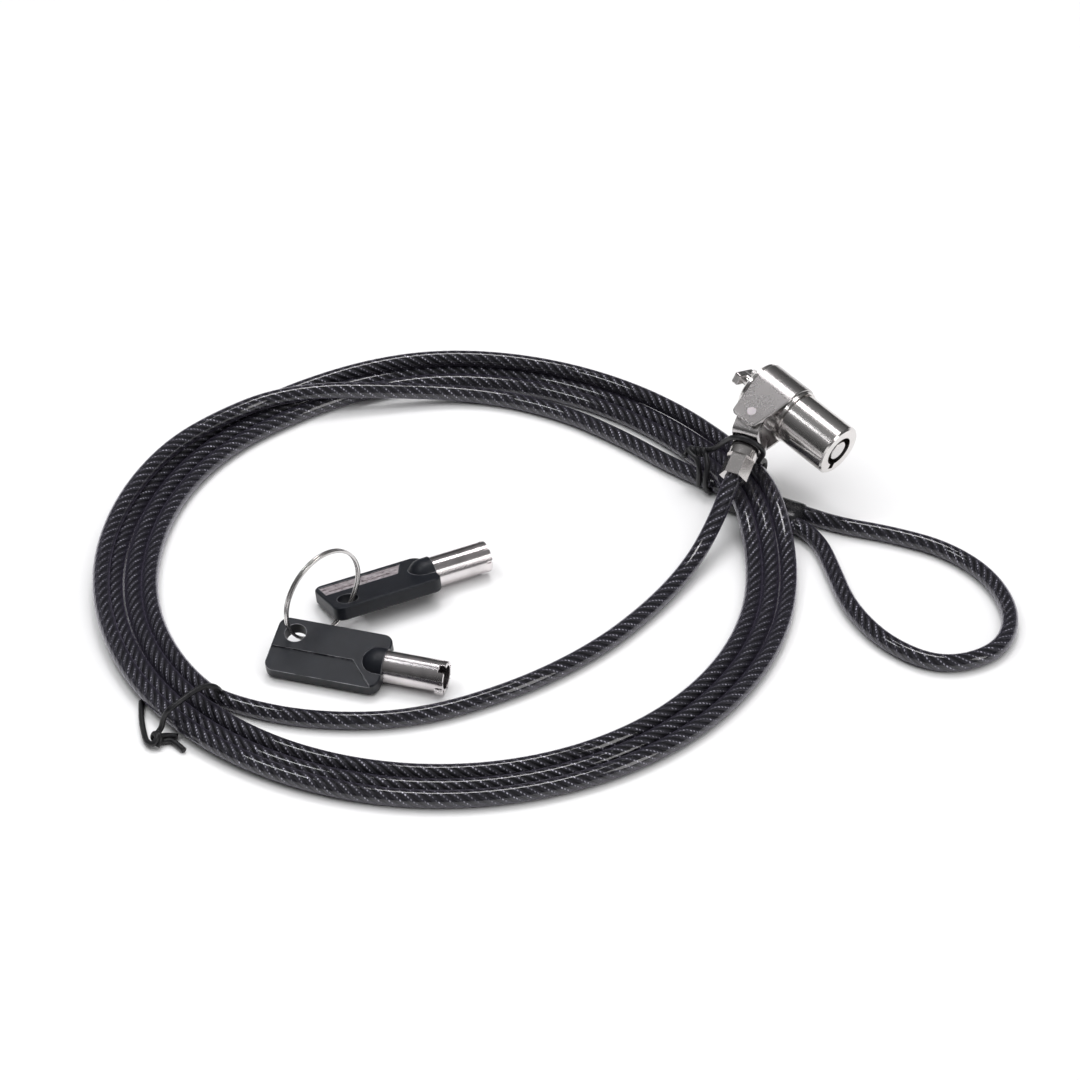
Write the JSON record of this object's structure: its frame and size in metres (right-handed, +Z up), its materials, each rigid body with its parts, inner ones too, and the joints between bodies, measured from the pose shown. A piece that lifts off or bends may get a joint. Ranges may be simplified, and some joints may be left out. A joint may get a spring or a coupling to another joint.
{
  "type": "laptop cable lock",
  "caption": "Key-operated T-bar lock on a swivelling yoke at the end of a coiled, plastic-coated steel cable with a looped eye, with tubular keys on a split ring.",
  "frame": {"origin": "the point of the table under the middle of the lock and the keys together, the cable left out", "axes": "+Z up from the table, +X towards the lock from the keys, +Y away from the looped side's viewer"},
  "size_m": [0.2167, 0.1672, 0.0304],
  "materials": {
    "cable_jacket": "clear smoky plastic over twisted steel strands",
    "sleeve_cover": "smooth black cover",
    "tie_coating": "soft black coating on wire",
    "bright_nickel": "polished nickel plating",
    "satin_nickel": "satin nickel plating",
    "plated_steel": "bright plated steel",
    "core_brass": "machined",
    "key_plastic": "fine moulded texture",
    "insert_metal": "rolled strip",
    "key_tube_nickel": "polished nickel plating"
  },
  "bodies": {
    "cable": {"cable_lead": "cable_jacket", "cable_coil": "cable_jacket", "cable_tail": "cable_jacket", "cable_eye": "cable_jacket", "crimp_sleeve": "sleeve_cover", "coil_tie": "tie_coating", "ferrule_tie": "tie_coating", "cable_ferrule": "bright_nickel", "swivel_stud": "satin_nickel"},
    "link": {"swivel_link": "satin_nickel"},
    "yoke": {"yoke": "satin_nickel", "yoke_rivet": "satin_nickel"},
    "lock": {"lock_barrel": "bright_nickel", "nose_cap": "bright_nickel", "anti_rotation_pins": "plated_steel", "pin_block": "core_brass", "retaining_dowel": "plated_steel", "driver_pins": "core_brass", "pin_springs": "plated_steel"},
    "core": {"rotor": "plated_steel", "t_bar_spindle": "plated_steel", "key_pins": "core_brass"},
    "ring": {"split_ring": "plated_steel"},
    "front_key": {"front_key_head": "key_plastic", "front_key_insert": "insert_metal", "front_key_tube": "key_tube_nickel"},
    "rear_key": {"rear_key_head": "key_plastic", "rear_key_insert": "insert_metal", "rear_key_tube": "key_tube_nickel"}
  },
  "joints": [
    {"name": "ferrule_swivel", "type": "hinge", "parent": "cable", "child": "link", "pos_m": [0.04498, 0.03198, 0.0189], "axis": [-0.3698, -0.8226, -0.432], "range_deg": [0, 150]},
    {"name": "yoke_pivot", "type": "hinge", "parent": "link", "child": "yoke", "pos_m": [0.04498, 0.03198, 0.0189], "axis": [-0.1456, -0.4079, 0.9014], "range_deg": [-20, 40]},
    {"name": "lock_spin", "type": "hinge", "parent": "yoke", "child": "lock", "pos_m": [0.04586, 0.04171, 0.02345], "axis": [0.6965, -0.6893, -0.1994], "continuous": true},
    {"name": "key_turn", "type": "hinge", "parent": "lock", "child": "core", "pos_m": [0.04586, 0.04171, 0.02345], "axis": [0.6965, -0.6893, -0.1994], "range_deg": [0, 90]},
    {"name": "ring_lift", "type": "slide", "parent": "cable", "child": "ring", "axis": [0, 0, 1], "range_m": [0, 0.1]},
    {"name": "front_key_swing", "type": "hinge", "parent": "ring", "child": "front_key", "pos_m": [-0.06229, -0.03061, 0.00488], "axis": [0, 0, 1], "range_deg": [-6, 0]},
    {"name": "rear_key_swing", "type": "hinge", "parent": "ring", "child": "rear_key", "pos_m": [-0.05081, -0.01888, 0.00488], "axis": [0, 0, 1], "range_deg": [0, 8]}
  ]
}
